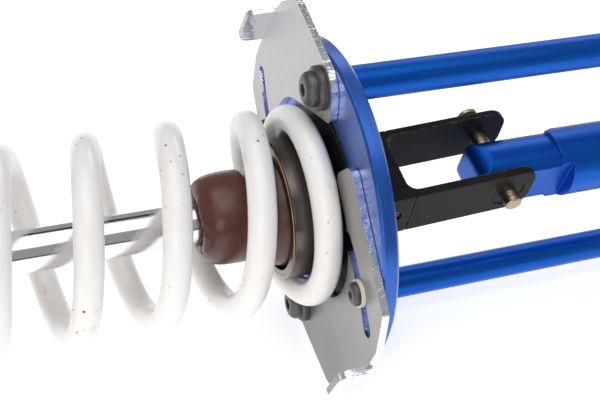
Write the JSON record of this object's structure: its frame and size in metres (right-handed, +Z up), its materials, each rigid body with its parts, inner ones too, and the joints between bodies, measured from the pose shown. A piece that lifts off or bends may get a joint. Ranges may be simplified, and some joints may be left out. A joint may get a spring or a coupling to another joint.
{
  "type": "strut assembly",
  "caption": "Coil-over suspension strut with its clevis end drawn through a two-post spring compressor with swinging jaw plates.",
  "frame": {"origin": "centre of the end plate's outer face, at the middle of its four mounting holes, on the tool axis", "axes": "+X along the strut axis from the damper eye towards the draw screw, +Z up through the upper post, +Y to the far side"},
  "size_m": [0.6811, 0.1753, 0.1569],
  "materials": {
    "blue_anodised": "satin anodised",
    "zinc_steel": "zinc plated, satin faces and bright edges",
    "black_oxide": "black oxide, satin",
    "pale_washer": "pale nylon, matt",
    "white_powder": "gloss powder coat with small chips",
    "chrome_rod": "hard chrome, polished",
    "urethane": "glossy cast urethane",
    "gunmetal": "dark blued steel, turned",
    "black_anodised": "black anodised, satin",
    "red_anodised": "red anodised",
    "gold_zinc": "yellow zinc, turned",
    "bronze": "turned bronze",
    "bare_steel": "ground steel, oiled",
    "black_rubber": "matt",
    "damper_alloy": "hard anodised, satin"
  },
  "bodies": {
    "tool_frame": {"anvil_plate": "blue_anodised", "post_upper": "blue_anodised", "post_lower": "blue_anodised", "pivot_bolts": "black_oxide", "pivot_washers": "black_oxide", "guide_screws": "black_oxide", "guide_washers": "pale_washer", "end_plate": "blue_anodised", "end_bolts": "black_oxide", "thrust_races": "bare_steel", "thrust_balls": "bare_steel", "main_spring": "white_powder"},
    "upper_swing": {"swing_plate_upper": "zinc_steel"},
    "lower_swing": {"swing_plate_lower": "zinc_steel"},
    "draw_slider": {"draw_tube": "blue_anodised", "draw_nut": "bronze"},
    "pin": {"cross_pin": "gold_zinc"},
    "screw": {"draw_screw": "bare_steel"},
    "bar": {"tommy_bar": "zinc_steel", "bar_knobs": "black_rubber"},
    "rod_end": {"clevis": "black_anodised", "rod": "chrome_rod", "bump_stop": "urethane", "spring_collar": "gunmetal", "seat_ring": "black_anodised", "spring_retainer": "black_anodised", "piston": "damper_alloy", "piston_shim": "bare_steel", "piston_nut": "bare_steel"},
    "adjuster": {"rebound_adjuster": "red_anodised"},
    "damper": {"damper_tube": "damper_alloy", "seal_head": "damper_alloy", "rod_wiper": "black_rubber", "eye_cap": "damper_alloy", "eye_race": "bare_steel", "lock_ring": "black_anodised"},
    "gas_piston": {"floating_piston": "damper_alloy"},
    "eye_joint": {"eye_ball": "chrome_rod"},
    "seat": {"spring_seat": "black_anodised"},
    "preload": {"preload_collar": "black_anodised"}
  },
  "joints": [
    {"name": "swing_upper", "type": "hinge", "parent": "tool_frame", "child": "upper_swing", "pos_m": [-0.2587, 0, 0.0595], "axis": [1, 0, 0], "range_deg": [-17.9, 6.7]},
    {"name": "swing_lower", "type": "hinge", "parent": "tool_frame", "child": "lower_swing", "pos_m": [-0.2587, 0, -0.0595], "axis": [1, 0, 0], "range_deg": [-9.6, 15]},
    {"name": "screw_turn", "type": "hinge", "parent": "tool_frame", "child": "screw", "pos_m": [0.01, 0, 0], "axis": [-1, 0, 0], "range_deg": [0, 3601]},
    {"name": "draw_slide", "type": "slide", "parent": "tool_frame", "child": "draw_slider", "axis": [1, 0, 0], "range_m": [0, 0.04], "deforming": ["main_spring"]},
    {"name": "bar_slide", "type": "slide", "parent": "screw", "child": "bar", "axis": [0, 1, 0], "range_m": [-0.055, 0.055]},
    {"name": "pin_withdraw", "type": "slide", "parent": "draw_slider", "child": "pin", "axis": [-0.0327, 0.9579, 0.2851], "range_m": [0, 0.05]},
    {"name": "clevis_pivot", "type": "hinge", "parent": "draw_slider", "child": "rod_end", "pos_m": [-0.17112, 0.00333, 0.00472], "axis": [-0.0327, 0.9579, 0.2851], "range_deg": [-0.8, 0.8], "deforming": ["main_spring"]},
    {"name": "adjuster_turn", "type": "hinge", "parent": "rod_end", "child": "adjuster", "pos_m": [-0.22706, -0.01287, -0.00162], "axis": [-0.0327, 0.9579, 0.2851], "range_deg": [-720, 720]},
    {"name": "damper_stroke", "type": "slide", "parent": "rod_end", "child": "damper", "axis": [1, 0, 0], "range_m": [0, 0.085], "deforming": ["main_spring"]},
    {"name": "gas_piston_slide", "type": "slide", "parent": "damper", "child": "gas_piston", "axis": [1, 0, 0], "range_m": [-0.0173, 0]},
    {"name": "eye_swivel", "type": "hinge", "parent": "damper", "child": "eye_joint", "pos_m": [-0.626, 0, 0], "axis": [0, 0.9583, 0.2857], "continuous": true},
    {"name": "preload_turn", "type": "hinge", "parent": "seat", "child": "preload", "pos_m": [-0.505, 0, 0], "axis": [1, 0, 0], "range_deg": [0, 1921]},
    {"name": "seat_slide", "type": "slide", "parent": "damper", "child": "seat", "axis": [1, 0, 0], "range_m": [0, 0.008], "deforming": ["main_spring"]}
  ],
  "couplings": [
    {"joint": "screw_turn", "follows": "draw_slide", "rad_per_m": 1570.8},
    {"joint": "gas_piston_slide", "follows": "damper_stroke", "ratio": -0.2025},
    {"joint": "preload_turn", "follows": "seat_slide", "rad_per_m": 4188.8}
  ]
}
